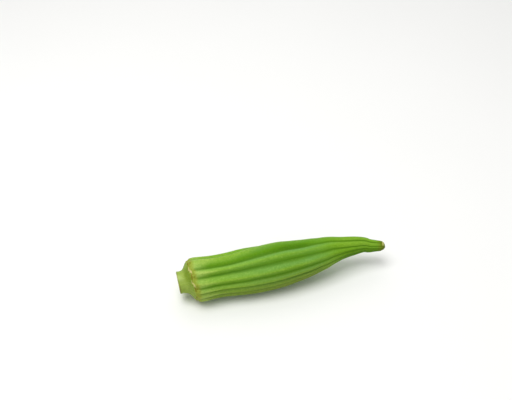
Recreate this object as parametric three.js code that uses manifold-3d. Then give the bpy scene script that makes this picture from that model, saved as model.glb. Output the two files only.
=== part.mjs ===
// Okra pod, as picked, lying on its side on a flat surface.
//
// One grown piece: a short cut stalk flares into a cap, the cap ends in the scar ring that the flower's
// leaves left, and behind its shoulder a ridged pod swells to its belly and tapers to a curved, blunt tip.
//
// Millimetres. +X runs from the stalk to the tip, +Z is up, and z = 0 is the surface that the pod lies on.
// The origin is under the middle of the pod's box. The stations below are measured along the pod's middle
// line, from the cut face of the stalk.

import * as THREE from 'three';
import { mergeVertices } from 'three/addons/utils/BufferGeometryUtils.js';
import Module from 'manifold-3d';

// ---------------------------------------------------------------- driving dimensions

const POD_LENGTH = 98.3;
const TIP_ROUNDING = 2.4; // length of the rounded end
const REST_FLAT = 0.22; // how far the soft skin gives way where the pod rests
const PITCH_DEG = 0.85; // the stalk end is lowered by this much, until the shoulder rests too
const BEND_LEAN_DEG = 50; // the plane of the bend, from +Z towards +Y

const STALK_RADIUS = 5.1;
const RING_STATION = 6.7;
const RING_RADIUS = 9.05;
const SHOULDER_RADIUS = 10.15;
const BELLY_RADIUS = 10.8;
const NECK_RADIUS = 4.35;

// The outline: [station, radius to the ridge crests].
const OUTLINE = [
  [0, STALK_RADIUS],
  [1.8, STALK_RADIUS - 0.05],
  [3.6, STALK_RADIUS + 0.5],
  [5.0, RING_RADIUS - 2.2],
  [6.1, RING_RADIUS - 0.45],
  [RING_STATION, RING_RADIUS],
  [7.4, SHOULDER_RADIUS - 0.6],
  [8.6, SHOULDER_RADIUS - 0.15],
  [10.5, SHOULDER_RADIUS],
  [17, SHOULDER_RADIUS - 0.4],
  [36, BELLY_RADIUS],
  [44.5, BELLY_RADIUS - 0.15],
  [53.5, BELLY_RADIUS - 1.1],
  [66, BELLY_RADIUS - 2.95],
  [73, BELLY_RADIUS - 4.4],
  [78, NECK_RADIUS + 0.9],
  [84, NECK_RADIUS],
  [90, NECK_RADIUS - 1.0],
  [POD_LENGTH - TIP_ROUNDING, NECK_RADIUS - 1.85],
  [POD_LENGTH, NECK_RADIUS - 2.2],
];

// The middle line: [station, distance from the straight line], in the plane of the bend.
const BEND = [
  [0, -0.6],
  [28, -0.6],
  [50, 0.1],
  [66, 1.5],
  [77, 2.65],
  [84, 2.75],
  [91, 1.5],
  [POD_LENGTH, -0.35],
];

// How deep the grooves between the ridges are: [station, depth].
const GROOVE_DEPTH = [
  [0, 0.1],
  [5, 0.15],
  [RING_STATION, 0.35],
  [9, 0.75],
  [15, 1.1],
  [36, 1.25],
  [55, 1.1],
  [68, 0.55],
  [78, 0.35],
  [90, 0.2],
  [POD_LENGTH, 0.05],
];

// The creases between the ridges: [angle at the shoulder, angle where the neck starts, angle at the tip, share
// of the groove depth, how far the crest that follows lies below the outline, as a share of the groove depth,
// how far that crest leans back towards its crease]. The angles are in degrees about the length, 0 at -Y and
// 90 at +Z.
const CREASES = [
  [-120, -120, -122, 1, 0, 0],
  [-90, -90, -94, 1, 0, 0],
  [-60, -60, -66, 1, 0, 0],
  [-25, -22, -34, 0.8, 0.1, 0],
  [1, -2, -10, 0.75, 0.15, 0],
  [18.5, 19, 12, 0.8, 0, 0.12],
  [49.5, 54, 38, 1, 0.1, 0.05],
  [74.5, 89, 75, 1.05, 0, 0],
  [124, 150, 140, 1.1, 0, 0],
  [150, 172, 164, 0.95, 0.1, 0.05],
  [177, 192, 188, 1, 0, -0.05],
  [206, 212, 212, 1, 0.05, 0],
];
const SHOULDER_END = 20; // the creases swing to their neck angles between these stations
const NECK_START = 56;
const TIP_SWING_START = 66; // and from those to their tip angles between these
const TIP_SWING_END = 88;
const RIDGE_SOFTNESS = 0.6; // 0 leaves crests and creases sharp, 1 rounds both fully

// The scar ring isn't square to the length: on the side at this angle it lies nearer to the cut.
const LEAN_ANGLE_DEG = 130;
const LEAN = [
  [0, 0.55],
  [3, 1.0],
  [RING_STATION, 1.95],
  [9, 1.8],
  [16, 0.8],
  [26, 0],
  [POD_LENGTH, 0],
];

// ---------------------------------------------------------------- curves and sections

// A smooth function through points: a cubic in each span, with the slope at a point taken from its neighbours.
function smoothThrough(points) {
  const slopeAt = (i) => {
    const before = points[Math.max(i - 1, 0)];
    const after = points[Math.min(i + 1, points.length - 1)];
    return (after[1] - before[1]) / (after[0] - before[0]);
  };
  return (x) => {
    let i = 0;
    while (i < points.length - 2 && x > points[i + 1][0]) i += 1;
    const [x0, y0] = points[i];
    const [x1, y1] = points[i + 1];
    const span = x1 - x0;
    const t = THREE.MathUtils.clamp((x - x0) / span, 0, 1);
    const rise = t * t * (3 - 2 * t);
    const leave = t * (1 - t) * (1 - t) * span * slopeAt(i);
    const arrive = t * t * (1 - t) * span * slopeAt(i + 1);
    return y0 + (y1 - y0) * rise + leave - arrive;
  };
}

const outlineRadius = smoothThrough(OUTLINE);
const bendOffset = smoothThrough(BEND);
const grooveDepth = smoothThrough(GROOVE_DEPTH);
const leanReach = smoothThrough(LEAN);

// Radius to the crests, with the end of the pod closed by a rounded dome.
function crestRadius(station) {
  const intoTip = Math.max(station - (POD_LENGTH - TIP_ROUNDING), 0) / TIP_ROUNDING;
  return outlineRadius(station) * Math.sqrt(1 - intoTip * intoTip);
}

// One closed section: each sampled angle, and how far the skin lies inside the crest radius there, as a share
// of the groove depth. Each ridge has its crease, its crest and two points on each flank between them.
const SAMPLES_PER_RIDGE = 6;
function section(station) {
  const swing = THREE.MathUtils.smoothstep(station, SHOULDER_END, NECK_START);
  const tipSwing = THREE.MathUtils.smoothstep(station, TIP_SWING_START, TIP_SWING_END);
  const angleOf = (near, far, tip) =>
    THREE.MathUtils.lerp(THREE.MathUtils.lerp(near, far, swing), tip, tipSwing);
  return CREASES.flatMap(([near, far, tip, share, drop, leanBack], i) => {
    const wraps = i === CREASES.length - 1;
    const [nextNear, nextFar, nextTip, nextShare] = CREASES[wraps ? 0 : i + 1];
    const turn = wraps ? 360 : 0;
    const start = angleOf(near, far, tip);
    const end = angleOf(nextNear + turn, nextFar + turn, nextTip + turn);
    return Array.from({ length: SAMPLES_PER_RIDGE }, (_, k) => {
      const across = k / SAMPLES_PER_RIDGE;
      const place = across + leanBack * Math.sin(Math.PI * across);
      const rise = 1 - Math.abs(2 * place - 1); // 0 at a crease, 1 at the crest
      const rounded = rise * rise * (3 - 2 * rise);
      const groove = 1 - THREE.MathUtils.lerp(rise, rounded, RIDGE_SOFTNESS);
      const floor = THREE.MathUtils.lerp(share, nextShare, across);
      return {
        angle: THREE.MathUtils.degToRad(THREE.MathUtils.lerp(start, end, across)),
        inset: drop + (floor - drop) * groove,
      };
    });
  });
}

// Stations: close together round the cap, the ring and the tip, wider along the body.
function spread(from, to, steps) {
  return Array.from({ length: steps }, (_, i) => from + ((to - from) * i) / steps);
}

const TIP_RINGS = 5;
const stations = [
  ...spread(0, 3.6, 4),
  ...spread(3.6, RING_STATION, 5),
  ...spread(RING_STATION, 9, 4),
  ...spread(9, 80, 32),
  ...spread(80, POD_LENGTH - TIP_ROUNDING, 9),
  ...Array.from({ length: TIP_RINGS }, (_, i) => {
    const turn = (Math.PI / 2) * (i / TIP_RINGS);
    return POD_LENGTH - TIP_ROUNDING + TIP_ROUNDING * Math.sin(turn);
  }),
];

// ---------------------------------------------------------------- the pod

const bendLean = THREE.MathUtils.degToRad(BEND_LEAN_DEG);
const bendDirection = new THREE.Vector3(0, Math.sin(bendLean), Math.cos(bendLean));
const leanAngle = THREE.MathUtils.degToRad(LEAN_ANGLE_DEG);

function middleLine(station) {
  return new THREE.Vector3(station, 0, 0).addScaledVector(bendDirection, bendOffset(station));
}

// The skin's points at one station, square to the middle line but for the ring's lean.
function ringPoints(station) {
  const reach = 0.5;
  const tangent = middleLine(station + reach).sub(middleLine(station - reach)).normalize();
  const up = new THREE.Vector3(0, 0, 1).addScaledVector(tangent, -tangent.z).normalize();
  const side = new THREE.Vector3().crossVectors(up, tangent); // +Y
  const radius = crestRadius(station);
  const depth = Math.min(grooveDepth(station), radius * 0.2);
  return section(station).map(({ angle, inset }) => {
    const r = radius - depth * inset;
    const facing = (1 + Math.cos(angle - leanAngle)) / 2;
    return middleLine(station)
      .addScaledVector(side, -Math.cos(angle) * r)
      .addScaledVector(up, Math.sin(angle) * r)
      .addScaledVector(tangent, -leanReach(station) * facing ** 1.5);
  });
}

function podGeometry() {
  const rings = stations.map(ringPoints);
  const around = rings[0].length;
  const cutMiddle = middleLine(0).add(new THREE.Vector3(-leanReach(0) * 0.4, 0, 0));
  const points = [...rings.flat(), cutMiddle, middleLine(POD_LENGTH)];
  const cutCentre = points.length - 2;
  const tipCentre = points.length - 1;
  const faces = [];
  for (let i = 0; i < around; i += 1) {
    const j = (i + 1) % around;
    for (let ring = 0; ring < rings.length - 1; ring += 1) {
      const near = ring * around;
      const far = near + around;
      faces.push(near + i, far + i, near + j, near + j, far + i, far + j);
    }
    const last = (rings.length - 1) * around;
    faces.push(cutCentre, i, j);
    faces.push(tipCentre, last + j, last + i);
  }
  const geometry = new THREE.BufferGeometry();
  geometry.setAttribute('position', new THREE.Float32BufferAttribute(points.flatMap((p) => p.toArray()), 3));
  geometry.setIndex(faces);
  return geometry;
}

// Lays the pod down: pitched, and sunk into the surface by the rest flat.
function layDown(geometry) {
  geometry.rotateY(THREE.MathUtils.degToRad(-PITCH_DEG));
  geometry.computeBoundingBox();
  const { min, max } = geometry.boundingBox;
  geometry.translate(-(min.x + max.x) / 2, -(min.y + max.y) / 2, -min.z - REST_FLAT);
  return geometry;
}

// ---------------------------------------------------------------- cutting the rest flats

const wasm = await Module();
wasm.setup();

function toSolid(geometry) {
  const bare = geometry.clone();
  bare.deleteAttribute('normal');
  bare.deleteAttribute('uv');
  const merged = mergeVertices(bare);
  return new wasm.Manifold(
    new wasm.Mesh({
      numProp: 3,
      vertProperties: new Float32Array(merged.attributes.position.array),
      triVerts: new Uint32Array(merged.index.array),
    }),
  );
}

function toGeometry(solid) {
  const mesh = solid.getMesh();
  const geometry = new THREE.BufferGeometry();
  geometry.setAttribute('position', new THREE.BufferAttribute(mesh.vertProperties, 3));
  geometry.setIndex(new THREE.BufferAttribute(mesh.triVerts, 1));
  geometry.computeVertexNormals();
  return geometry;
}

function cutAtSurface(geometry) {
  const depth = 20;
  const below = new THREE.BoxGeometry(POD_LENGTH * 2, POD_LENGTH, depth).translate(0, 0, -depth / 2);
  return toGeometry(toSolid(geometry).subtract(toSolid(below)));
}

// ---------------------------------------------------------------- scene graph

const okraSkin = new THREE.MeshStandardMaterial({ color: 0x7fae42, roughness: 0.55, metalness: 0 });

const pod = new THREE.Mesh(cutAtSurface(layDown(podGeometry())), okraSkin);
pod.name = 'okra_pod';

const okra = new THREE.Group();
okra.add(pod);

export default okra;
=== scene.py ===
import math
from types import SimpleNamespace

import bpy
from mathutils import Matrix, Vector


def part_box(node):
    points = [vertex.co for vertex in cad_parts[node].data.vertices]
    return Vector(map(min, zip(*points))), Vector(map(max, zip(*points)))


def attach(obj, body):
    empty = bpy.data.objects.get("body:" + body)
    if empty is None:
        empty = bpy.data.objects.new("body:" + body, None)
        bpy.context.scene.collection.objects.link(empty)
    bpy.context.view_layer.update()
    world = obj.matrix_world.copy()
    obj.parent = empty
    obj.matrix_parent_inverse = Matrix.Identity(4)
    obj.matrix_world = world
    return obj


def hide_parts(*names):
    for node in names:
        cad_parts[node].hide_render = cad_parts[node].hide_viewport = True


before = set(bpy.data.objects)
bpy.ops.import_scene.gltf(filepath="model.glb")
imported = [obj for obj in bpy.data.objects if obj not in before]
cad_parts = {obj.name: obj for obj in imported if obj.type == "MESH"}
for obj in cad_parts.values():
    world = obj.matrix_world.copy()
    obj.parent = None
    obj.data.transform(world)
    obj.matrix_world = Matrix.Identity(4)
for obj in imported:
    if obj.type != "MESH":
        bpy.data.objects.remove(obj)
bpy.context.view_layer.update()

# The okra pod's looks. One Geometry Nodes rule grows its skin: the cut stalk, the cap, the scar ring, the
# ridged body and the tip. Two more cover it with down and lay the torn fibres of the scar ring.
# Lengths in this file are in millimetres until MM turns them into Blender's metres.

MM = 0.001

# ---------------------------------------------------------------- sizes

LENGTH = 98.3
TIP_ROUNDING = 2.4
REST_FLAT = 0.22  # how far the soft skin gives way where the pod rests
PITCH = math.radians(0.85)
BEND_LEAN = math.radians(50)  # the plane of the bend, from +Z towards +Y

STALK_RADIUS = 5.1
RING = 6.7  # how far the scar ring is from the cut
RING_RADIUS = 9.05
SHOULDER = 8.6  # how far the front of the shoulder is from the cut
SHOULDER_RADIUS = 10.15
BELLY_RADIUS = 10.8
NECK_RADIUS = 4.35

# Each list below is [distance from the cut, value].
OUTLINE = [
    (0, STALK_RADIUS - 0.12),
    (0.35, STALK_RADIUS),
    (1.8, STALK_RADIUS - 0.05),
    (3.6, STALK_RADIUS + 0.5),
    (5.0, RING_RADIUS - 2.2),
    (6.1, RING_RADIUS - 0.45),
    (RING, RING_RADIUS),
    (7.4, SHOULDER_RADIUS - 0.6),
    (SHOULDER, SHOULDER_RADIUS - 0.15),
    (10.5, SHOULDER_RADIUS),
    (17, SHOULDER_RADIUS - 0.4),
    (36, BELLY_RADIUS),
    (44.5, BELLY_RADIUS - 0.15),
    (53.5, BELLY_RADIUS - 1.1),
    (66, BELLY_RADIUS - 2.95),
    (73, BELLY_RADIUS - 4.4),
    (78, NECK_RADIUS + 0.9),
    (84, NECK_RADIUS),
    (90, NECK_RADIUS - 1.0),
    (LENGTH - TIP_ROUNDING, NECK_RADIUS - 1.85),
    (LENGTH, NECK_RADIUS - 2.2),
]
BEND = [(0, -0.6), (28, -0.6), (50, 0.1), (66, 1.5), (77, 2.65), (84, 2.75), (91, 1.5), (LENGTH, -0.35)]
GROOVE_DEPTH = [
    (0, 0.1),
    (5, 0.15),
    (RING, 0.4),
    (9, 0.85),
    (15, 1.2),
    (36, 1.35),
    (55, 1.15),
    (68, 0.55),
    (78, 0.35),
    (90, 0.22),
    (LENGTH, 0.06),
]

# The creases between the ridges. The columns, as named below, are the angle at the shoulder, where the neck
# starts and at the tip, the share of the groove depth, how far the crest that follows lies below the outline
# (as a share of the groove depth), how far that crest leans back towards its crease, and how strong the
# painted shade on the flank between them is. The angles are in degrees about the length, 0 at -Y and 90 at
# +Z.
NEAR, FAR, TIP, SHARE, DROP, LEAN_BACK, FLANK_SHADE = range(7)
CREASES = [
    (-120, -120, -122, 1, 0, 0, 0.6),
    (-90, -90, -94, 1, 0, 0, 0.5),
    (-60, -60, -66, 1, 0, 0, 0.5),
    (-25, -22, -34, 0.8, 0.1, 0, 0.3),
    (1, -2, -10, 0.75, 0.15, 0, 0.45),
    (18.5, 19, 12, 0.8, 0, 0.12, 0.75),
    (49.5, 54, 38, 1, 0.1, 0.05, 0.72),
    (74.5, 89, 75, 1.05, 0, 0, 0.95),
    (124, 150, 140, 1.1, 0, 0, 0.3),
    (150, 172, 164, 0.95, 0.1, 0.05, 0.8),
    (177, 192, 188, 1, 0, -0.05, 0.8),
    (206, 212, 212, 1, 0.05, 0, 0.7),
]
SWING = (20, 56)  # the creases swing from their shoulder angles to their neck angles between these stations
TIP_SWING = (66, 88)  # and from those to their tip angles between these
WANDER = 0.03  # how far they stray from those angles, in radians

# The scar ring isn't square to the length: on the side at this angle it lies nearer to the cut.
LEAN_ANGLE = math.radians(130)
LEAN = [(0, 0.55), (3, 1.0), (RING, 1.95), (9, 1.8), (16, 0.8), (26, 0), (LENGTH, 0)]

# Where the scar ring is torn to pale fibres and where it is stained: (angle, half width, strength).
TORN = [(-95, 14, 0.7), (-38, 8, 0.5), (34, 7, 1.0), (76, 8, 1.0)]
TORN += [(122, 10, 0.6), (158, 12, 0.9), (214, 9, 0.7)]
STAINED = [(-110, 14, 0.8), (-60, 12, 0.6), (-14, 9, 0.7), (18, 9, 1.0), (56, 9, 0.9), (100, 9, 0.9)]
STAINED += [(140, 12, 0.8), (186, 14, 0.9), (230, 12, 0.7)]
RIND = [(-70, 30, 0.5), (0, 34, 1.0), (110, 14, 0.4), (190, 40, 0.8)]  # where the rim of the cut has dried
TORN_SLANT = 0.9  # how far the ring's line swings along the pod where it's torn
RING_RAGGED = 0.3  # how far it strays along the pod all the way round

# Zones that run along the pod at one shoulder angle: (angle, half width).
SOFT_RIDGE = (99, 20)  # the broad top ridge is rounder than the others
TOP = (106, 12)  # where that ridge's flank gets less painted shade
# Painted light on the upper side.
UPPER_LIGHT = (70, 19)
# Painted shade and sheen on the lower side.
LOWER_SHADE_AND_SHEEN = (-28, 40)
NECK_SHADE_BAND = (25, 9)  # a band of painted shade along the neck's lower side
HOLLOW = (77, 8)  # a deeper hollow between two upper ridges, darkened with painted shade
HOLLOW_STATION = (54, 13)  # its middle and half length along the pod
TIP_SCAR = (76, 30)
TIP_SCAR_STATION = (LENGTH - 1.5, 0.6)

RINGS = 420
COLUMNS_PER_RIDGE = 16
STEP = 1.5  # the middle line's direction is taken this far to each side of a station
WRAP_RADIUS = 10  # the grain's radius, so that a step of one in it is about a millimetre on the skin
FACE_SHARE = 0.07  # the share of the skin's rings that lie on the cut face


# ---------------------------------------------------------------- node maths


def find(sockets, key):
    """A socket by its place, identifier or name."""
    if isinstance(key, int):
        return sockets[key]
    for socket in sockets:
        if socket.identifier == key:
            return socket
    return next(socket for socket in sockets if socket.enabled and socket.name == key)


class Wire:
    """One output of a node. Python's operators on it add Math or Vector Math nodes to its tree."""

    def __init__(self, nodes, socket):
        self.nodes = nodes
        self.socket = socket

    def beside(self, output):
        """Another output of the same node."""
        return Wire(self.nodes, find(self.socket.node.outputs, output))

    def __add__(self, other):
        return self.nodes.reckon("ADD", self, other)

    def __radd__(self, other):
        return self.nodes.reckon("ADD", other, self)

    def __sub__(self, other):
        return self.nodes.reckon("SUBTRACT", self, other)

    def __rsub__(self, other):
        return self.nodes.reckon("SUBTRACT", other, self)

    def __mul__(self, other):
        return self.nodes.reckon("MULTIPLY", self, other)

    def __rmul__(self, other):
        return self.nodes.reckon("MULTIPLY", other, self)

    def __truediv__(self, other):
        return self.nodes.reckon("DIVIDE", self, other)

    def __neg__(self):
        return self.nodes.reckon("MULTIPLY", self, -1.0)

    def __pow__(self, other):
        return self.nodes.reckon("POWER", self, other)

    def __abs__(self):
        return self.nodes.reckon("ABSOLUTE", self)


class Nodes:
    """Adds nodes to one tree, of a material or of geometry."""

    def __init__(self, tree):
        self.tree = tree

    def add(self, kind, settings=None, sockets=None, output=0):
        """Adds any node: its settings first, then a value or a link for each socket. Returns one output."""
        node = self.tree.nodes.new(kind)
        for name, value in (settings or {}).items():
            if name == "points":
                place_points(node.mapping, value)
            else:
                setattr(node, name, value)
        for name, value in (sockets or {}).items():
            self.plug(find(node.inputs, name), value)
        return Wire(self, find(node.outputs, output)) if len(node.outputs) else None

    def plug(self, socket, value):
        if isinstance(value, Wire):
            self.tree.links.new(value.socket, socket)
        elif socket.type == "VECTOR" and isinstance(value, (int, float)):
            socket.default_value = (value, value, value)
        else:
            socket.default_value = value

    def reckon(self, operation, *values):
        """One Math node, or one Vector Math node where a value is a vector."""
        vectors = [isinstance(v, (tuple, Vector)) or is_vector(v) for v in values]
        kind = "ShaderNodeVectorMath" if any(vectors) else "ShaderNodeMath"
        return self.add(kind, {"operation": operation}, dict(enumerate(values)))

    def join(self, x, y, z):
        return self.add("ShaderNodeCombineXYZ", None, {"X": x, "Y": y, "Z": z})

    def ramp(self, value, low, high):
        """0 at low, 1 at high, with a smooth rise between."""
        ends = {"Value": value, "From Min": low, "From Max": high}
        return self.add("ShaderNodeMapRange", {"interpolation_type": "SMOOTHSTEP"}, ends)

    def hump(self, value, centre, width):
        """1 at the centre, falling smoothly to nothing about two widths away."""
        away = (value - centre) / width
        return self.reckon("EXPONENT", -(away * away))

    def noise(self, place, scale, detail=2.0, roughness=0.5):
        """Smooth noise, from about -1 to 1."""
        sockets = {"Vector": place, "Scale": scale, "Detail": detail, "Roughness": roughness}
        return self.add("ShaderNodeTexNoise", None, sockets) * 2 - 1

    def blend(self, share, first, second):
        """A colour between two colours."""
        settings = {"data_type": "RGBA"}
        sockets = {"Factor_Float": share, "A_Color": first, "B_Color": second}
        return self.add("ShaderNodeMix", settings, sockets, "Result_Color")


def is_vector(value):
    return isinstance(value, Wire) and value.socket.type == "VECTOR"


def place_points(mapping, points):
    """Lays a Float Curve's points out as given."""
    curve = mapping.curves[0]
    while len(curve.points) < len(points):
        curve.points.new(0.5, 0.5)
    for point, place in zip(curve.points, points):
        point.location = place
    mapping.update()


def linear(red, green, blue):
    """A colour given as the eye reads it, from 0 to 255, in Blender's linear numbers."""
    shares = [channel / 255 for channel in (red, green, blue)]
    return tuple(s / 12.92 if s <= 0.04045 else ((s + 0.055) / 1.055) ** 2.4 for s in shares) + (1.0,)


# ---------------------------------------------------------------- growing a piece with Geometry Nodes


def start_tree(name, sizes, takes_mesh=False):
    """A new tree with a named input for each size. Returns its Nodes and its inputs' wires, by name."""
    tree = bpy.data.node_groups.new(name, "GeometryNodeTree")
    sockets = tree.interface
    sockets.new_socket("Geometry", in_out="OUTPUT", socket_type="NodeSocketGeometry")
    if takes_mesh:
        sockets.new_socket("Geometry", in_out="INPUT", socket_type="NodeSocketGeometry")
    kinds = {int: "NodeSocketInt", float: "NodeSocketFloat", Vector: "NodeSocketVector"}
    for label, value in sizes.items():
        sockets.new_socket(label, in_out="INPUT", socket_type=kinds[type(value)])
    nodes = Nodes(tree)
    given = nodes.add("NodeGroupInput")
    labels = ["Geometry"] * takes_mesh + list(sizes)
    return nodes, {label: given.beside(label) for label in labels}


def end_tree(nodes, geometry, material):
    whole = nodes.add("GeometryNodeRealizeInstances", None, {"Geometry": geometry})
    dressed = nodes.add("GeometryNodeSetMaterial", None, {"Geometry": whole, "Material": material})
    nodes.add("NodeGroupOutput", None, {"Geometry": dressed})


def store(nodes, geometry, name, value, kind="FLOAT", domain="POINT"):
    """Keeps a value on the mesh as a named attribute, for the materials."""
    settings = {"data_type": kind, "domain": domain}
    sockets = {"Geometry": geometry, "Name": name, "Value": value}
    return nodes.add("GeometryNodeStoreNamedAttribute", settings, sockets)


def kept(nodes, name, kind="FLOAT"):
    """Reads a stored value back inside a geometry tree."""
    return nodes.add("GeometryNodeInputNamedAttribute", {"data_type": kind}, {"Name": name})


def grow(name, nodes, sizes, start=None):
    """Runs a tree on a start mesh and returns what it makes as a plain mesh object."""
    seedling = bpy.data.objects.new(name + "_start", start or bpy.data.meshes.new(name + "_start"))
    bpy.context.scene.collection.objects.link(seedling)
    modifier = seedling.modifiers.new("grow", "NODES")
    modifier.node_group = nodes.tree
    for socket in nodes.tree.interface.items_tree:
        if socket.in_out == "INPUT" and socket.name in sizes:
            modifier[socket.identifier] = sizes[socket.name]
    depsgraph = bpy.context.evaluated_depsgraph_get()
    grown = seedling.evaluated_get(depsgraph)
    mesh = bpy.data.meshes.new_from_object(grown, preserve_all_data_layers=True, depsgraph=depsgraph)
    bpy.data.objects.remove(seedling)
    piece = bpy.data.objects.new(name, mesh)
    bpy.context.scene.collection.objects.link(piece)
    return piece


# ---------------------------------------------------------------- the skin's rule


def place_of(station):
    """Where a distance from the cut lies on the 0 to 1 scale that crowds the rings at both ends."""
    return math.acos(1 - 2 * min(station / LENGTH, 1.0)) / math.pi


def through(nodes, place, points):
    """A smooth value through (0 to 1 place, value) points."""
    values = [value for _, value in points]
    low, reach = min(values), max(values) - min(values)
    shares = [(at, (value - low) / reach) for at, value in points]
    return low + reach * nodes.add("ShaderNodeFloatCurve", {"points": shares}, {"Value": place})


def along(nodes, place, points):
    """A smooth value through (distance from the cut, value) points."""
    return through(nodes, place, [(place_of(station), value) for station, value in points])


def crease_angles(nodes, turn, column):
    """The angle about the length of a place round the skin, in radians, from one column of the creases."""
    count = len(CREASES)
    angles = [crease[column] for crease in CREASES]
    angles.append(angles[0] + 360)
    drift = [(i / count, angle - angles[0] - i * 360 / count) for i, angle in enumerate(angles)]
    return nodes.reckon("RADIANS", angles[0] + turn * 360 + through(nodes, turn, drift))


def crease_values(nodes, turn, column, offset):
    """A value from one column of the creases, each held a share of a ridge past its crease."""
    values = [crease[column] for crease in CREASES]
    count = len(values)
    places = [((i + offset) / count, value) for i, value in enumerate(values)]
    if offset:
        seam = (values[0] + values[-1]) / 2
        return through(nodes, turn, [(0, seam)] + places + [(1, seam)])
    return through(nodes, turn, places + [(1, values[0])])


def patches(nodes, angle, places):
    """1 near some places round the ring, 0 elsewhere."""
    degrees = nodes.reckon("DEGREES", angle)
    total = 0.0
    for centre, width, strength in places:
        total = total + strength * nodes.hump(degrees, centre, width)
    return total


def zone(nodes, angle, place):
    """1 along a zone's angle, falling smoothly to nothing about two half widths away."""
    centre, width = place
    return nodes.hump(angle, math.radians(centre), math.radians(width))


def middle_line(nodes, station, lean):
    """A point on the pod's middle line, in millimetres."""
    place = nodes.reckon("ARCCOSINE", 1 - nodes.reckon("MINIMUM", station / LENGTH, 1.0) * 2) / math.pi
    offset = along(nodes, place, BEND)
    return nodes.join(station, offset * math.sin(lean), offset * math.cos(lean))


def ring_place(nodes, station, angle, grain):
    """How far a point is behind the ragged line of the scar ring, which runs aslant where it's torn."""
    degrees = nodes.reckon("DEGREES", angle)
    swing = 0.0
    for centre, width, strength in TORN:
        swing = swing + (degrees - centre) * (strength / width) * nodes.hump(degrees, centre, width)
    return station - RING - RING_RAGGED * nodes.noise(grain * (0.3, 0.3, 0.0), 1.0) + TORN_SLANT * swing


def relief(nodes, station, groove, behind, torn, grain):
    """How far the skin stands out from the plain ridged shape: lumps, knobs, the scar ring and the cap."""
    lumps = 0.15 * nodes.noise(grain * (0.12, 0.12, 0.035), 1.0)
    lumps = lumps + 0.05 * nodes.noise(grain * (0.9, 0.9, 0.14), 1.0)
    body = nodes.ramp(station, RING, SHOULDER)
    knob = 0.14 * nodes.hump(station, SHOULDER + 0.4, 1.6) * (1 - groove)
    ragged = 0.55 + 0.6 * nodes.noise(grain * (1.3, 1.3, 0.5), 1.0) + 0.5 * torn
    lip = 0.26 * nodes.hump(behind, 0.0, 0.28) * ragged
    notch = 0.24 * nodes.hump(behind, 0.6, 0.35) + 0.16 * nodes.hump(behind, -0.6, 0.3)
    cap = nodes.ramp(station, 1.0, 3.2) - nodes.ramp(station, 5.0, RING)
    ribs = 0.2 * nodes.noise(grain * (0.36, 0.36, 0.06), 1.0, 1.0) * cap
    return lumps * (0.3 + 0.7 * body) + knob + lip - notch + ribs


def cut_relief(nodes, face, grain):
    """How far the cut face sinks in at each point: a dished pith inside a ring of fibre ends."""
    dish = 0.3 * (1 - face * face)
    fibres = 0.16 * nodes.hump(face, 0.78, 0.07) * (1 + nodes.noise(grain * (1.6, 1.6, 1.0), 1.0))
    pith = 0.09 * nodes.noise(grain * (1.1, 1.1, 1.0), 1.0, 3.0)
    return (dish - fibres + pith) * (1 - nodes.ramp(face, 0.9, 1.0))


def skin_angle(nodes, turn, station, near, grain):
    """The angle about the length of each place, as the creases swing towards the neck and the tip."""
    far = crease_angles(nodes, turn, FAR)
    wander = WANDER * nodes.noise(grain * (0.1, 0.1, 0.04), 1.0, 1.0)
    angle = near + (far - near) * nodes.ramp(station, *SWING)
    return angle + (crease_angles(nodes, turn, TIP) - angle) * nodes.ramp(station, *TIP_SWING) + wander


def ridge_profile(nodes, given, turn, near):
    """How far each place is from one crease to the next, from 0 to 1, and how deep it lies between crests."""
    over = nodes.reckon("FRACT", turn * len(CREASES))
    over = over + crease_values(nodes, turn, LEAN_BACK, 0.5) * nodes.reckon("SINE", over * math.pi)
    slope = 1 - abs(over * 2 - 1)
    rounded = slope * slope * (3 - slope * 2)
    softness = given["Ridge Softness"]
    softness = softness + (1 - softness) * zone(nodes, near, SOFT_RIDGE)
    return over, 1 - (slope + (rounded - slope) * softness)


def tip_dome(nodes, station):
    """The share of the outline that is left where the tip rounds off."""
    into_tip = nodes.reckon("MAXIMUM", station - (LENGTH - TIP_ROUNDING), 0.0) / TIP_ROUNDING
    return nodes.reckon("SQRT", nodes.reckon("MAXIMUM", 1 - into_tip * into_tip, 0.0))


def round_middle(nodes, station, angle, radius):
    """A point at a radius and angle about the middle line, in millimetres."""
    ahead = middle_line(nodes, station + STEP, BEND_LEAN)
    behind = middle_line(nodes, station - STEP, BEND_LEAN)
    forward = nodes.reckon("NORMALIZE", ahead - behind)
    side = nodes.reckon("NORMALIZE", nodes.reckon("CROSS_PRODUCT", (0.0, 0.0, 1.0), forward))
    up = nodes.reckon("CROSS_PRODUCT", forward, side)
    across = side * (-radius * nodes.reckon("COSINE", angle)) + up * (radius * nodes.reckon("SINE", angle))
    return middle_line(nodes, station, BEND_LEAN) + across


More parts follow.
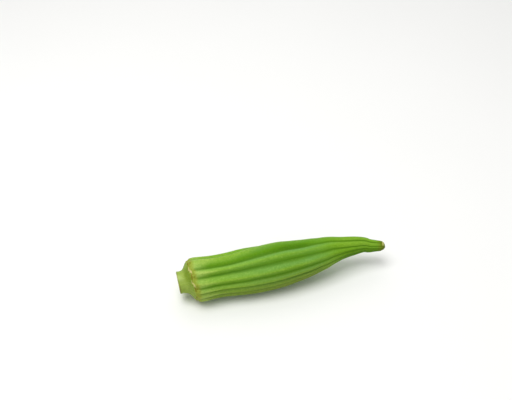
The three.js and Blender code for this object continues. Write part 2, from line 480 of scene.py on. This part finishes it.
def skin_tree(sizes, material):
    nodes, given = start_tree("pod_skin", sizes)
    sheet = nodes.add(
        "GeometryNodeMeshGrid",
        None,
        {"Size X": 1.0, "Size Y": 1.0, "Vertices X": given["Around"], "Vertices Y": given["Along"]},
    )
    flat = nodes.add("GeometryNodeInputPosition")
    split = nodes.add("ShaderNodeSeparateXYZ", None, {"Vector": flat})
    turn = split + 0.5
    rise = split.beside("Y") + 0.5

    # The first rings lie on the cut face, and the rest run along the pod.
    face = nodes.reckon("MINIMUM", rise / FACE_SHARE, 1.0)
    place = nodes.reckon("MAXIMUM", (rise - FACE_SHARE) / (1 - FACE_SHARE), 0.0)
    station = (1 - nodes.reckon("COSINE", place * math.pi)) * (LENGTH / 2)
    circle = turn * math.tau
    wrap = WRAP_RADIUS * face
    grain = nodes.join(nodes.reckon("COSINE", circle) * wrap, nodes.reckon("SINE", circle) * wrap, station)

    # How the creases run, and how far each place lies below the outline between its crests.
    near = crease_angles(nodes, turn, NEAR)
    angle = skin_angle(nodes, turn, station, near, grain)
    over, groove = ridge_profile(nodes, given, turn, near)
    hollow = zone(nodes, near, HOLLOW) * nodes.hump(station, *HOLLOW_STATION)
    share = crease_values(nodes, turn, SHARE, 0.0) + 0.3 * hollow
    drop = crease_values(nodes, turn, DROP, 0.5)
    uneven = 1 + 0.3 * nodes.noise(grain * (0.25, 0.25, 0.035), 1.0, 1.0)
    inset = drop + (share - drop) * groove * uneven
    depth = along(nodes, place, GROOVE_DEPTH) * given["Groove Depth"]

    outline = along(nodes, place, [(s, r / BELLY_RADIUS) for s, r in OUTLINE]) * given["Belly Radius"]
    torn = patches(nodes, near, TORN)
    past_ring = ring_place(nodes, station, near, grain)
    raised = relief(nodes, station, groove, past_ring, torn, grain) * nodes.ramp(station, 0.0, 1.5)
    radius = (outline - depth * inset + raised) * tip_dome(nodes, station) * face

    facing = ((1 + nodes.reckon("COSINE", angle - LEAN_ANGLE)) / 2) ** 1.5
    lean = along(nodes, place, LEAN) * (0.4 + (facing - 0.4) * face)
    shift = nodes.join(cut_relief(nodes, face, grain) - lean, 0.0, 0.0)
    drawn = round_middle(nodes, station, angle, radius) + shift

    # Painted shade on the downward flank just past each crease.
    flank = nodes.hump(over, 0.18, 0.2) * crease_values(nodes, turn, FLANK_SHADE, 0.2)
    stored = {
        "station": station,
        "groove": groove * nodes.ramp(station, 5, 9),
        "face": face,
        "past_ring": past_ring,
        "torn": torn,
        "stained": patches(nodes, near, STAINED),
        "crest": nodes.hump(over, 0.5, 0.16),
        "flank": flank * (1 - 0.75 * zone(nodes, near, TOP)),
        # A painted pale sheen on the facet before each next crease.
        "facet": nodes.hump(over, 0.76, 0.16),
        # Painted light on the upper side, and painted shade and sheen on the lower side.
        "upper": zone(nodes, near, UPPER_LIGHT),
        "lower": zone(nodes, near, LOWER_SHADE_AND_SHEEN),
        "neck_band": zone(nodes, near, NECK_SHADE_BAND),
        "hollow": hollow,
        "tip_scar": zone(nodes, near, TIP_SCAR) * nodes.hump(station, *TIP_SCAR_STATION),
        "rind": patches(nodes, near, RIND),
    }
    skin = sheet
    for name, value in stored.items():
        skin = store(nodes, skin, name, value)
    skin = store(nodes, skin, "grain", grain, "FLOAT_VECTOR")
    skin = store(nodes, skin, "OFBake", nodes.join(turn, rise, 0.0), "FLOAT2", "CORNER")
    skin = nodes.add("GeometryNodeSetPosition", None, {"Geometry": skin, "Position": drawn * MM})
    skin = nodes.add("GeometryNodeMergeByDistance", None, {"Geometry": skin, "Distance": 0.0003 * MM})
    skin = lay_down(nodes, skin, given)
    skin = nodes.add("GeometryNodeSetShadeSmooth", None, {"Geometry": skin})
    end_tree(nodes, skin, material)
    return nodes


def lay_down(nodes, skin, given):
    """Pitches the pod, puts its box over the rest point and presses its lowest crests flat there."""
    skin = nodes.add("GeometryNodeTransform", None, {"Geometry": skin, "Rotation": (0.0, -PITCH, 0.0)})
    box = nodes.add("GeometryNodeBoundBox", None, {"Geometry": skin}, "Min")
    low = box
    middle = (low + box.beside("Max")) * (0.5, 0.5, 0.0) + low * (0.0, 0.0, 1.0)
    moved = nodes.add("GeometryNodeInputPosition") - middle + given["Rest Point"]
    split = nodes.add("ShaderNodeSeparateXYZ", None, {"Vector": moved})
    floor = nodes.add("ShaderNodeSeparateXYZ", None, {"Vector": given["Rest Point"]}, "Z")
    pressed = nodes.reckon("MAXIMUM", split.beside("Z") - REST_FLAT * MM, floor)
    resting = nodes.join(split, split.beside("Y"), pressed)
    return nodes.add("GeometryNodeSetPosition", None, {"Geometry": skin, "Position": resting})


# ---------------------------------------------------------------- materials


def start_material(name, constants):
    """A material whose Principled shader has these constant values. Returns it, its Nodes and the shader."""
    material = bpy.data.materials.new(name)
    material.use_nodes = True
    shader = material.node_tree.nodes["Principled BSDF"]
    for label, value in constants.items():
        shader.inputs[label].default_value = value
    return material, Nodes(material.node_tree), shader


def kept_on_skin(nodes, name, output="Fac"):
    """Reads an attribute of the mesh inside a material."""
    return nodes.add("ShaderNodeAttribute", {"attribute_name": name}, None, output)


# Painted shade in the creases and in the upper hollow.
CREASE_SHADE_GREEN = linear(60, 108, 2)
# Painted shade on each ridge's downward flank, also the dark of the fine mottle.
FLANK_SHADE_AND_MOTTLE_GREEN = linear(86, 138, 2)
BODY_GREEN = linear(118, 168, 52)
# A cooler tone, also a painted pale sheen on each ridge's upward facet.
COOL_TONE_AND_SHEEN = linear(114, 168, 82)
CREST_GREEN = linear(134, 174, 46)
# Fresh green near the ring, also painted light on the neck's top.
FRESH_AND_LIT_GREEN = linear(152, 192, 66)
# Pale crests near the ring, partly a painted highlight.
FRESH_CREST_AND_HIGHLIGHT = linear(196, 216, 116)
HAIR_FOOT = linear(178, 206, 84)
NECK_GREEN = linear(122, 170, 26)
# Painted shade on the neck's lower side and along its creases.
NECK_SHADE_GREEN = linear(70, 116, 2)
# Painted shade and sheen on the lowest ridges.
LOWER_SHADE_AND_SHEEN_OLIVE = linear(128, 136, 58)
TIP_OLIVE = linear(108, 108, 28)
STALK_GREEN = linear(144, 166, 62)
# A painted highlight on the stalk's upper edge.
STALK_HIGHLIGHT = linear(190, 208, 124)
# Painted shade on the concave cap.
CAP_SHADE_GREEN = linear(118, 142, 34)
BAND_YELLOW = linear(164, 168, 62)
STAIN_BROWN = linear(128, 112, 20)
SCAR_BROWN = linear(122, 98, 24)
SCAR_CREAM = linear(222, 214, 138)
CUT_RIND = linear(96, 82, 30)
CUT_FIBRE = linear(186, 176, 104)
CUT_PITH = linear(220, 218, 166)
HAIR_DEEP = linear(112, 160, 30)
HAIR_PALE = linear(180, 200, 104)


def skin_places(nodes):
    """What the skin's colours depend on: its stored attributes, and noises that follow its grain."""
    names = ("station", "groove", "face", "past_ring", "torn", "stained", "crest", "flank", "facet")
    names += ("upper", "lower", "neck_band", "hollow", "tip_scar", "rind")
    on = SimpleNamespace(**{name: kept_on_skin(nodes, name) for name in names})
    on.grain = kept_on_skin(nodes, "grain", "Vector")
    on.broad = nodes.noise(on.grain * (0.09, 0.09, 0.05), 1.0, 2.0)
    on.streak = nodes.noise(on.grain * (1.4, 1.4, 0.08), 1.0, 3.0, 0.6)
    on.hairline = nodes.noise(on.grain * (4.5, 4.5, 0.3), 1.0, 2.0)
    on.pebble = nodes.noise(on.grain * (1.0, 1.0, 0.8), 1.5, 2.0, 0.6)
    on.speckle = nodes.noise(on.grain, 3.4, 2.0, 0.6)
    on.neck = nodes.ramp(on.station + 3 * on.broad, 58, 80)
    # Where painted shade darkens the creases.
    on.crease = nodes.ramp(on.groove + 0.12 * on.streak + 0.1 * on.pebble, 0.6, 1.05)
    on.before_ring = 1 - nodes.ramp(on.station, RING - 0.5, RING + 0.2)
    on.ring_line = nodes.hump(on.past_ring, 0.0, 0.25)
    on.cut = 1 - nodes.ramp(on.face, 0.985, 1.0)
    feet = nodes.add("ShaderNodeTexVoronoi", None, {"Vector": on.grain, "Scale": 1.5})
    on.foot = 1 - nodes.ramp(feet, 0.08, 0.26)
    return on


def body_colour(nodes, on):
    """A cooler pale green between the ridges, as a painted sheen on each ridge's upward facet, and
    yellow-green on the crests. Painted shade deepens one flank of each ridge and is deepest in the creases
    and the upper hollow, with fine lengthwise streaks. The lowest ridges are olive, with painted shade and
    sheen."""
    body = nodes.ramp(on.station, SHOULDER, 15)
    green = nodes.blend(nodes.ramp(on.broad + 0.35 * on.streak, -0.4, 0.5), BODY_GREEN, COOL_TONE_AND_SHEEN)
    # A painted pale sheen on each ridge's upward facet.
    green = nodes.blend(on.facet * (0.8 - 0.7 * on.neck), green, COOL_TONE_AND_SHEEN)
    green = nodes.blend(on.crest * 0.5, green, CREST_GREEN)
    # Olive painted shade and sheen on the lowest ridges.
    green = nodes.blend(on.lower * (0.8 + 0.3 * on.streak), green, LOWER_SHADE_AND_SHEEN_OLIVE)
    # Painted shade on each ridge's downward flank.
    flank_shading = on.flank * body * (0.9 + 0.4 * on.pebble)
    green = nodes.blend(flank_shading * (1.15 - 0.75 * on.neck), green, FLANK_SHADE_AND_MOTTLE_GREEN)
    # Painted shade, deepest in the creases.
    green = nodes.blend(on.crease * (0.8 - 0.35 * on.lower), green, CREASE_SHADE_GREEN)
    # Painted shade in the hollow between two upper ridges.
    return nodes.blend(nodes.ramp(on.hollow, 0.3, 1.0) * (0.8 + 0.3 * on.pebble), green, CREASE_SHADE_GREEN)


def neck_colour(nodes, on, green):
    """Yellower on the neck, with painted light on its top and painted shade on its lower side, in a band
    along it and in thin lines along its creases.
    """
    neck_end = nodes.ramp(on.station + 3 * on.broad, 68, 82)
    # Thin lines of painted shade along the neck's creases.
    line = nodes.ramp(on.groove + 0.06 * on.streak, 0.72, 0.96)
    green = nodes.blend(on.neck * 0.75 * (1 - 0.5 * on.crease), green, NECK_GREEN)
    # Painted shade on the neck's lower side and in a band along it, and painted light on its top.
    green = nodes.blend(neck_end * nodes.ramp(on.lower, 0.1, 0.6) * 0.85, green, NECK_SHADE_GREEN)
    green = nodes.blend(neck_end * on.neck_band * 0.8, green, NECK_SHADE_GREEN)
    green = nodes.blend(neck_end * on.upper * 0.4, green, FRESH_AND_LIT_GREEN)
    return nodes.blend(on.neck * line * 0.85, green, NECK_SHADE_GREEN)


def fresh_colour(nodes, on, green):
    """Fresher near the ring, and pale on the crests there, partly the skin's own colour and partly a painted
    highlight, strongest on the upper side.
    """
    fresh = 1 - nodes.ramp(on.station + 4 * on.broad + 3 * on.streak, 12, 54)
    fresh = fresh * 0.6 * (1 - on.crease) * (1 - 0.8 * on.lower) * (1 - 0.85 * on.flank)
    green = nodes.blend(fresh, green, FRESH_AND_LIT_GREEN)
    pale = 1 - nodes.ramp(on.station + 1.5 * on.streak - 5 * on.crest, 6, 16)
    pale_and_highlight = pale * (0.36 + 0.4 * on.upper + 0.2 * on.lower)
    return nodes.blend(pale_and_highlight * (1 - 0.75 * on.crease), green, FRESH_CREST_AND_HIGHLIGHT)


def tip_colour(nodes, on, green):
    """Olive at the tip, with a pale scar."""
    tip = nodes.ramp(on.station + 0.7 * on.speckle + 0.8 * on.streak, LENGTH - 5.0, LENGTH - 1.6)
    green = nodes.blend(tip * 0.85, green, TIP_OLIVE)
    scar = nodes.ramp(on.tip_scar + 0.15 * on.speckle, 0.45, 0.85)
    return nodes.blend(scar * 0.9, green, SCAR_CREAM)


def stalk_colour(nodes, on, green):
    """The cap and the stalk, ahead of the ring: painted shade darkens the cap, and a painted highlight makes
    the stalk palest at its upper edge.
    """
    stalk_tone_and_highlight = on.streak * 0.5 + 0.5 * on.broad + on.upper * (1.5 - 0.4 * on.station)
    # Painted shade on the cap, then a painted highlight with streaky tone on the stalk.
    stalk = nodes.blend(nodes.ramp(on.station, 2.5, 5.5), STALK_GREEN, CAP_SHADE_GREEN)
    stalk = nodes.blend(nodes.ramp(stalk_tone_and_highlight, -0.4, 1.4), stalk, STALK_HIGHLIGHT)
    return nodes.blend(on.before_ring * 0.92, green, stalk)


def ring_colour(nodes, on, green):
    """The scar ring: a yellow band with brown stains, behind a corky line that is cream where it is torn."""
    behind = on.past_ring
    band = nodes.ramp(behind, -0.4, 0.1) - nodes.ramp(behind + 0.5 * on.streak, 1.0, 3.0)
    mottle = nodes.ramp(nodes.noise(on.grain * (0.9, 0.9, 0.6), 1.0, 3.0, 0.6), -0.4, 0.35)
    green = nodes.blend(band * 0.7, green, BAND_YELLOW)
    stain = nodes.hump(behind + 0.5 * on.streak, 0.9, 1.0) * (0.3 + on.stained) * mottle
    green = nodes.blend(stain * 0.85, green, STAIN_BROWN)
    cork = nodes.blend(nodes.ramp(on.torn + 0.25 * on.speckle, 0.35, 0.7), SCAR_BROWN, SCAR_CREAM)
    corky = nodes.ramp(on.torn + on.stained + 0.4 * on.speckle, 0.1, 0.8)
    return nodes.blend(on.ring_line * corky, green, cork)


def cut_colour(nodes, on, green):
    """The dried rim of the cut, then the cut face: rind, a ring of fibre ends and pale pith."""
    rim = nodes.hump(on.station + 0.2 * on.speckle, 0.0, 0.45)
    green = nodes.blend(rim * (0.25 + 0.65 * on.rind), green, CUT_RIND)
    pith = nodes.blend(nodes.ramp(on.face + 0.05 * on.speckle, 0.55, 0.72), CUT_PITH, CUT_FIBRE)
    dots = nodes.ramp(nodes.noise(on.grain * (1.7, 1.7, 1.0), 1.0, 1.0), 0.05, 0.4)
    fibre_ring = nodes.hump(on.face, 0.78, 0.08) * dots
    pith = nodes.blend(fibre_ring * 0.7, pith, STALK_GREEN)
    pith = nodes.blend(nodes.ramp(on.face + 0.03 * on.speckle, 0.86, 0.95), pith, CUT_RIND)
    return nodes.blend(on.cut, green, pith)


def fine_colour(nodes, on, colour):
    """A few small dry nicks, a fine mottle, and the pale foot of each hair."""
    nick = nodes.ramp(nodes.noise(on.grain * (0.8, 0.8, 0.35), 1.0, 1.0), 0.6, 0.7)
    colour = nodes.blend(nick * 0.4, colour, STAIN_BROWN)
    fine = nodes.ramp(on.pebble + 0.9 * on.speckle, -0.7, 0.7)
    colour = nodes.blend((1 - fine) * 0.42 * (1 - 0.5 * on.before_ring), colour, FLANK_SHADE_AND_MOTTLE_GREEN)
    bright = nodes.ramp(fine, 0.55, 1.0) * 0.2 * on.face * (1 - 0.6 * on.flank)
    colour = nodes.blend(bright, colour, HAIR_FOOT)
    return nodes.blend(on.foot * on.face * (0.12 + 0.3 * on.crest), colour, HAIR_FOOT)


def skin_material():
    constants = {
        "Subsurface Weight": 0.06,
        "Subsurface Radius": (0.5 * MM, 0.8 * MM, 0.2 * MM),
        "Subsurface Scale": 1.0,
        "Sheen Weight": 0.06,
        "Sheen Roughness": 0.35,
        "Sheen Tint": linear(226, 232, 196),
        "Specular IOR Level": 0.05,
    }
    material, nodes, shader = start_material("okra_skin", constants)
    on = skin_places(nodes)
    colour = body_colour(nodes, on)
    for tint in (neck_colour, fresh_colour, tip_colour, stalk_colour, ring_colour, cut_colour, fine_colour):
        colour = tint(nodes, on, colour)
    rough = 0.5 + 0.1 * on.groove + 0.07 * on.speckle + 0.25 * on.ring_line + 0.3 * on.cut
    height = 0.06 * on.streak + 0.03 * on.hairline + 0.07 * on.speckle + 0.09 * on.pebble + 0.07 * on.foot
    bump = nodes.add("ShaderNodeBump", None, {"Strength": 0.8, "Distance": 1.0 * MM, "Height": height})
    for label, wire in {"Base Color": colour, "Roughness": rough, "Normal": bump}.items():
        nodes.plug(shader.inputs[label], wire)
    return material


def down_material():
    constants = {"Roughness": 0.6, "Specular IOR Level": 0.2}
    material, nodes, shader = start_material("okra_down", constants)
    reach = kept_on_skin(nodes, "reach")
    tone = kept_on_skin(nodes, "tone")
    colour = nodes.blend(nodes.ramp(reach + 0.3 * tone, 0.1, 1.0), HAIR_DEEP, HAIR_PALE)
    nodes.plug(shader.inputs["Base Color"], colour)
    return material


def fibre_material():
    constants = {"Roughness": 0.8, "Specular IOR Level": 0.25}
    material, nodes, shader = start_material("scar_fibre", constants)
    tone = kept_on_skin(nodes, "tone")
    place = nodes.add("ShaderNodeTexCoord", None, None, "Object")
    mottle = nodes.noise(place, 2.5 / MM, 2.0)
    colour = nodes.blend(nodes.ramp(tone + 0.25 * mottle, 0.0, 0.4), SCAR_BROWN, SCAR_CREAM)
    nodes.plug(shader.inputs["Base Color"], colour)
    return material


# ---------------------------------------------------------------- down and fibres

DOWN_CELLS = 200  # the hairs' map is this many cells each way, one hair to a cell
FIBRE_CELLS = 14


def scattered(nodes, mesh, density, seed):
    """Points on the mesh, each with its normal."""
    settings = {"distribute_method": "RANDOM"}
    sockets = {"Mesh": mesh, "Density": density, "Seed": seed}
    return nodes.add("GeometryNodeDistributePointsOnFaces", settings, sockets)


def aligned(nodes, rotation, axis, vector, settings=None):
    """A rotation turned so that one of its axes points along a vector."""
    sockets = {"Vector": vector} if rotation is None else {"Rotation": rotation, "Vector": vector}
    return nodes.add("FunctionNodeAlignRotationToVector", {"axis": axis, **(settings or {})}, sockets)


def random(nodes, low, high, seed):
    sockets = {"Min_001": low, "Max_001": high, "Seed": seed}
    return nodes.add("FunctionNodeRandomValue", {"data_type": "FLOAT"}, sockets, "Value_001")


def random_vector(nodes, reach, seed):
    low, high = (-reach, -reach, -reach), (reach, reach, reach)
    sockets = {"Min": low, "Max": high, "Seed": seed}
    return nodes.add("FunctionNodeRandomValue", {"data_type": "FLOAT_VECTOR"}, sockets, "Value")


def map_cells(nodes, geometry, cells):
    """Gives each copy a cell of its own on the piece's map."""
    number = kept(nodes, "number")
    row = nodes.reckon("FLOOR", number / cells)
    column = number - row * cells
    cell = nodes.join(column, row, 0.0)
    inside = kept(nodes, "own_map", "FLOAT_VECTOR") * 0.8 + (0.1, 0.1, 0.0)
    return store(nodes, geometry, "OFBake", (cell + inside) / cells, "FLOAT2", "CORNER")


def down_tree(sizes, material):
    """Short soft hairs that stand on the skin and lean towards the tip."""
    nodes, given = start_tree("pod_down", sizes, takes_mesh=True)
    station = kept(nodes, "station")
    groove = kept(nodes, "groove")
    downy = nodes.ramp(station, 1.0, RING + 2) * (1 - 0.45 * groove)
    bare_tip = 1 - nodes.ramp(station, LENGTH - 3, LENGTH)
    density = given["Density"] * downy * bare_tip
    points = scattered(nodes, given["Geometry"], density, given["Seed"])
    lean = points.beside("Normal") + (0.35, 0.0, 0.0) + random_vector(nodes, 0.55, given["Seed"])
    standing = aligned(nodes, None, "Z", lean)
    sockets = {"Radius Top": 0.0, "Radius Bottom": given["Width"] / 2, "Depth": given["Hair Length"]}
    hair = nodes.add("GeometryNodeMeshCone", {"fill_type": "NGON"}, {"Vertices": 3, **sockets})
    height = nodes.add("ShaderNodeSeparateXYZ", None, {"Vector": nodes.add("GeometryNodeInputPosition")}, "Z")
    shape = store(nodes, hair, "own_map", hair.beside("UV Map"), "FLOAT_VECTOR", "CORNER")
    shape = store(nodes, shape, "reach", height / given["Hair Length"])
    size = random(nodes, 0.45, 1.25, 7)
    sockets = {"Points": points, "Instance": shape, "Rotation": standing, "Scale": size}
    hairs = nodes.add("GeometryNodeInstanceOnPoints", None, sockets)
    hairs = store(nodes, hairs, "number", nodes.add("GeometryNodeInputIndex"), "FLOAT", "INSTANCE")
    hairs = store(nodes, hairs, "tone", random(nodes, 0.0, 1.0, 3), "FLOAT", "INSTANCE")
    hairs = nodes.add("GeometryNodeRealizeInstances", None, {"Geometry": hairs})
    end_tree(nodes, map_cells(nodes, hairs, DOWN_CELLS), material)
    return nodes


def sliver(nodes, length, width):
    """One torn fibre: a thin strip that tapers to both ends and lies along X."""
    line = nodes.add(
        "GeometryNodeCurvePrimitiveLine",
        None,
        {"Start": nodes.join(length * -0.5, 0.0, 0.0), "End": nodes.join(length * 0.5, 0.0, 0.0)},
    )
    line = nodes.add("GeometryNodeResampleCurve", None, {"Curve": line, "Count": 6})
    share = nodes.add("GeometryNodeSplineParameter")
    taper = 0.12 + nodes.reckon("SINE", share * math.pi)
    section = nodes.add("GeometryNodeCurvePrimitiveCircle", None, {"Resolution": 4, "Radius": 1.0})
    sockets = {"Curve": line, "Profile Curve": section, "Scale": taper * width / 2, "Fill Caps": True}
    strip = nodes.add("GeometryNodeCurveToMesh", None, sockets)
    place = nodes.add("ShaderNodeSeparateXYZ", None, {"Vector": nodes.add("GeometryNodeInputPosition")})
    own_map = nodes.join(place / length + 0.5, place.beside("Y") / width * 0.8 + 0.5, 0.0)
    flat = place.beside("Z") * 0.45
    bowed = flat - place * place / (2 * RING_RADIUS * MM)
    strip = store(nodes, strip, "own_map", own_map, "FLOAT_VECTOR", "CORNER")
    lying = nodes.join(place, place.beside("Y"), bowed)
    return nodes.add("GeometryNodeSetPosition", None, {"Geometry": strip, "Position": lying})


def fibre_tree(sizes, material):
    """Torn corky fibres that lie along the scar ring."""
    nodes, given = start_tree("scar_fibres", sizes, takes_mesh=True)
    near = nodes.ramp(nodes.hump(kept(nodes, "past_ring"), 0.0, 0.25), 0.35, 0.9)
    torn = nodes.ramp(kept(nodes, "torn"), 0.2, 0.9)
    points = scattered(nodes, given["Geometry"], given["Density"] * near * torn, given["Seed"])
    normal = points.beside("Normal")
    around = nodes.reckon("CROSS_PRODUCT", normal, (1.0, 0.0, 0.0)) + random_vector(nodes, 0.16, 5)
    lying = aligned(nodes, None, "X", around)
    lying = aligned(nodes, lying, "Z", normal, {"pivot_axis": "X"})
    size = random(nodes, 0.4, 1.3, 11)
    shape = sliver(nodes, given["Fibre Length"], given["Width"])
    sockets = {"Points": points, "Instance": shape, "Rotation": lying, "Scale": size}
    fibres = nodes.add("GeometryNodeInstanceOnPoints", None, sockets)
    fibres = store(nodes, fibres, "number", nodes.add("GeometryNodeInputIndex"), "FLOAT", "INSTANCE")
    fibres = store(nodes, fibres, "tone", random(nodes, 0.0, 1.0, 13), "FLOAT", "INSTANCE")
    fibres = nodes.add("GeometryNodeRealizeInstances", None, {"Geometry": fibres})
    fibres = nodes.add("GeometryNodeSetShadeSmooth", None, {"Geometry": fibres})
    end_tree(nodes, map_cells(nodes, fibres, FIBRE_CELLS), material)
    return nodes


# ---------------------------------------------------------------- the pieces

pod_low, pod_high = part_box("okra_pod")
rest_point = Vector(((pod_low.x + pod_high.x) / 2, (pod_low.y + pod_high.y) / 2, pod_low.z))

skin_sizes = {
    "Around": len(CREASES) * COLUMNS_PER_RIDGE + 1,
    "Along": RINGS,
    "Belly Radius": BELLY_RADIUS,
    "Groove Depth": 1.0,
    "Ridge Softness": 0.6,
    "Rest Point": rest_point,
}
skin = grow("pod_skin", skin_tree(skin_sizes, skin_material()), skin_sizes)
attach(skin, "root")
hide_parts("okra_pod")

down_sizes = {"Density": 3.0 / MM**2, "Hair Length": 0.5 * MM, "Width": 0.035 * MM, "Seed": 4}
down = grow("pod_down", down_tree(down_sizes, down_material()), down_sizes, skin.data.copy())
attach(down, "root")

fibre_sizes = {"Density": 9.0 / MM**2, "Fibre Length": 1.9 * MM, "Width": 0.22 * MM, "Seed": 2}
fibres = grow("scar_fibres", fibre_tree(fibre_sizes, fibre_material()), fibre_sizes, skin.data.copy())
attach(fibres, "root")

# ---------------------------------------------------------------- floor, light and camera

FLOOR_SIZE = 6.0
FLOOR_PALE = linear(246, 246, 244)
FLOOR_MOTTLE = linear(236, 236, 234)
WORLD_STRENGTH = 0.42
VIEW_AZIMUTH = -12.5  # degrees, 0 from -Y
VIEW_ELEVATION = 40
VIEW_DISTANCE = 329 * MM
VIEW_ASIDE = -12.8 * MM  # the camera aims this far to the right of the pod's centre
VIEW_ABOVE = 29.9 * MM


def make_floor():
    mesh = bpy.data.meshes.new("floor")
    half = FLOOR_SIZE / 2
    level = pod_low.z
    corners = [(-half, -half, level), (half, -half, level), (half, half, level), (-half, half, level)]
    mesh.from_pydata(corners, [], [(0, 1, 2, 3)])
    material, nodes, shader = start_material("pale_floor", {"Roughness": 0.9, "Specular IOR Level": 0.1})
    place = nodes.add("ShaderNodeTexCoord", None, None, "Object")
    mottle = nodes.ramp(nodes.noise(place, 9.0), -1.0, 1.0)
    nodes.plug(shader.inputs["Base Color"], nodes.blend(mottle * 0.15, FLOOR_PALE, FLOOR_MOTTLE))
    mesh.materials.append(material)
    floor = bpy.data.objects.new("floor", mesh)
    bpy.context.scene.collection.objects.link(floor)


def softbox(name, azimuth, elevation, distance, size, watts):
    """A square light that looks at the pod from this direction, as the camera's view is given."""
    light = bpy.data.lights.new(name, "AREA")
    light.energy = watts
    light.size = size
    lamp = bpy.data.objects.new(name, light)
    lamp.matrix_world = looking_from(azimuth, elevation, distance, pod_centre)
    bpy.context.scene.collection.objects.link(lamp)


def looking_from(azimuth, elevation, distance, target, aside=0.0, above=0.0):
    """The placing of a camera or lamp that looks level at a target, which it may aim beside or above."""
    turn, tilt = math.radians(azimuth), math.radians(elevation)
    back = Vector((math.sin(turn) * math.cos(tilt), -math.cos(turn) * math.cos(tilt), math.sin(tilt)))
    right = Vector((math.cos(turn), math.sin(turn), 0))
    up = back.cross(right)
    place = target + right * aside + up * above + back * distance
    turned = Matrix((right, up, back)).transposed().to_4x4()
    return Matrix.Translation(place) @ turned


pod_centre = (pod_low + pod_high) / 2
make_floor()
softbox("key", -70, 74, 0.75, 0.5, 4.2)
softbox("back", 165, 48, 0.8, 0.6, 1.05)
softbox("front", 10, 25, 0.9, 0.7, 0.25)

world = bpy.data.worlds.new("studio")
world.use_nodes = True
sky = world.node_tree.nodes["Background"]
sky.inputs["Color"].default_value = (1.0, 1.0, 1.0, 1.0)
sky.inputs["Strength"].default_value = WORLD_STRENGTH
bpy.context.scene.world = world
bpy.context.scene.view_settings.view_transform = "Standard"

lens = bpy.data.cameras.new("camera")
lens.lens = 50
camera = bpy.data.objects.new("camera", lens)
view = (VIEW_AZIMUTH, VIEW_ELEVATION, VIEW_DISTANCE)
camera.matrix_world = looking_from(*view, pod_centre, VIEW_ASIDE, VIEW_ABOVE)
bpy.context.scene.collection.objects.link(camera)
bpy.context.scene.camera = camera
